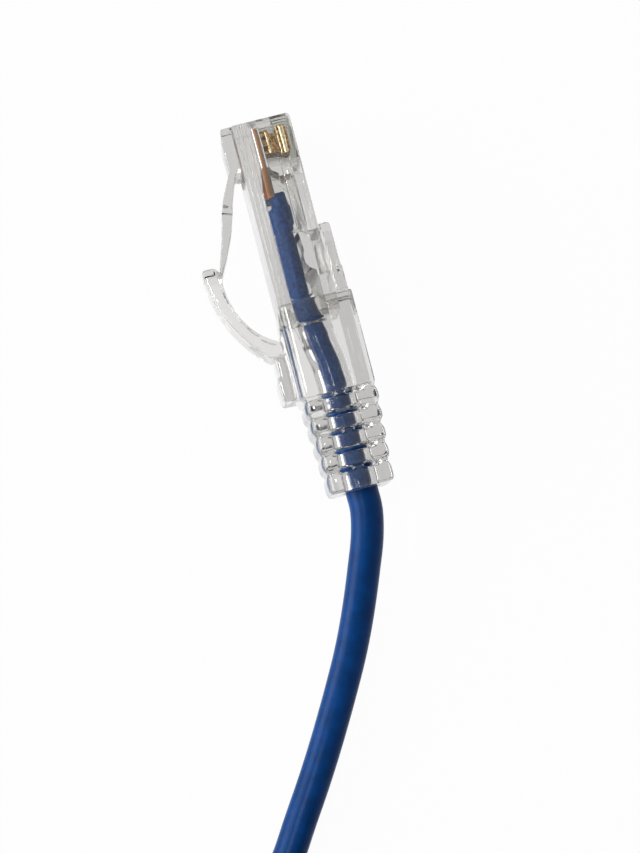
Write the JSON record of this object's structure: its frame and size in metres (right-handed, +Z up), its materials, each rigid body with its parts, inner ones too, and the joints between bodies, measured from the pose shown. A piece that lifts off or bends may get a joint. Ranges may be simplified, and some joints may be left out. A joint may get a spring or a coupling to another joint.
{
  "type": "ethernet patch cable",
  "caption": "Slim round patch cord with a clear latching modular plug, soft guarded boot and slotted strain relief on each end; the spare cord is wound into a tied hank.",
  "frame": {"origin": "on the table, under the middle of plug A (the plug with its boot and latch guard)", "axes": "+Y out of plug A's nose, into the jack; +Z up from the table, along the plug's width, with the pin 1 side up; +X towards the contacts, -X towards the latch"},
  "size_m": [0.0441, 0.1495, 0.0269],
  "materials": {
    "clear_housing": "clear polycarbonate, glossy",
    "clear_boot": "clear soft PVC, slightly milky",
    "gold_contact": "gold-plated phosphor bronze",
    "copper": "bare copper strands",
    "navy_jacket": "satin navy PVC",
    "tie_plastic": "white plastic twist tie",
    "wire_white_orange": "thin smooth insulation",
    "wire_orange": "thin smooth insulation",
    "wire_white_green": "thin smooth insulation",
    "wire_blue": "thin smooth insulation",
    "wire_white_blue": "thin smooth insulation",
    "wire_green": "thin smooth insulation",
    "wire_white_brown": "thin smooth insulation",
    "wire_brown": "thin smooth insulation"
  },
  "bodies": {
    "cable": {"plug_a_housing": "clear_housing", "plug_a_conductors": "copper", "plug_a_jacket_end": "navy_jacket", "plug_a_boot": "clear_boot", "plug_a_contact_1": "gold_contact", "plug_a_contact_2": "gold_contact", "plug_a_contact_3": "gold_contact", "plug_a_contact_4": "gold_contact", "plug_a_contact_5": "gold_contact", "plug_a_contact_6": "gold_contact", "plug_a_contact_7": "gold_contact", "plug_a_contact_8": "gold_contact", "plug_a_wire_1": "wire_white_orange", "plug_a_wire_2": "wire_orange", "plug_a_wire_3": "wire_white_green", "plug_a_wire_4": "wire_blue", "plug_a_wire_5": "wire_white_blue", "plug_a_wire_6": "wire_green", "plug_a_wire_7": "wire_white_brown", "plug_a_wire_8": "wire_brown", "plug_b_housing": "clear_housing", "plug_b_conductors": "copper", "plug_b_jacket_end": "navy_jacket", "plug_b_boot": "clear_boot", "plug_b_contact_1": "gold_contact", "plug_b_contact_2": "gold_contact", "plug_b_contact_3": "gold_contact", "plug_b_contact_4": "gold_contact", "plug_b_contact_5": "gold_contact", "plug_b_contact_6": "gold_contact", "plug_b_contact_7": "gold_contact", "plug_b_contact_8": "gold_contact", "plug_b_wire_1": "wire_white_orange", "plug_b_wire_2": "wire_orange", "plug_b_wire_3": "wire_white_green", "plug_b_wire_4": "wire_blue", "plug_b_wire_5": "wire_white_blue", "plug_b_wire_6": "wire_green", "plug_b_wire_7": "wire_white_brown", "plug_b_wire_8": "wire_brown", "cord_lead": "navy_jacket", "cord_coil": "navy_jacket", "cord_tail": "navy_jacket", "tie": "tie_plastic"},
    "latch_a": {"plug_a_latch": "clear_housing"},
    "guard_a": {"plug_a_latch_guard": "clear_boot"},
    "latch_b": {"plug_b_latch": "clear_housing"},
    "guard_b": {"plug_b_latch_guard": "clear_boot"}
  },
  "joints": [
    {"name": "latch_a_flex", "type": "hinge", "parent": "cable", "child": "latch_a", "pos_m": [-0.00156, 0.01717, 0.00675], "axis": [0, 0, 1], "range_deg": [0, 15.2], "stiffness_Nm_per_rad": 0.016},
    {"name": "guard_a_flex", "type": "hinge", "parent": "cable", "child": "guard_a", "pos_m": [-0.00231, -0.00382, 0.00675], "axis": [0, 0, -1], "range_deg": [0, 16], "stiffness_Nm_per_rad": 0.016},
    {"name": "latch_b_flex", "type": "hinge", "parent": "cable", "child": "latch_b", "pos_m": [-0.004, -0.06878, 0.02015], "axis": [0, 0, 1], "range_deg": [0, 15.2], "stiffness_Nm_per_rad": 0.016},
    {"name": "guard_b_flex", "type": "hinge", "parent": "cable", "child": "guard_b", "pos_m": [-0.00475, -0.08977, 0.02015], "axis": [0, 0, -1], "range_deg": [0, 16], "stiffness_Nm_per_rad": 0.016}
  ],
  "couplings": [
    {"joint": "latch_a_flex", "follows": "guard_a_flex", "ratio": 0.95},
    {"joint": "latch_b_flex", "follows": "guard_b_flex", "ratio": 0.95}
  ]
}
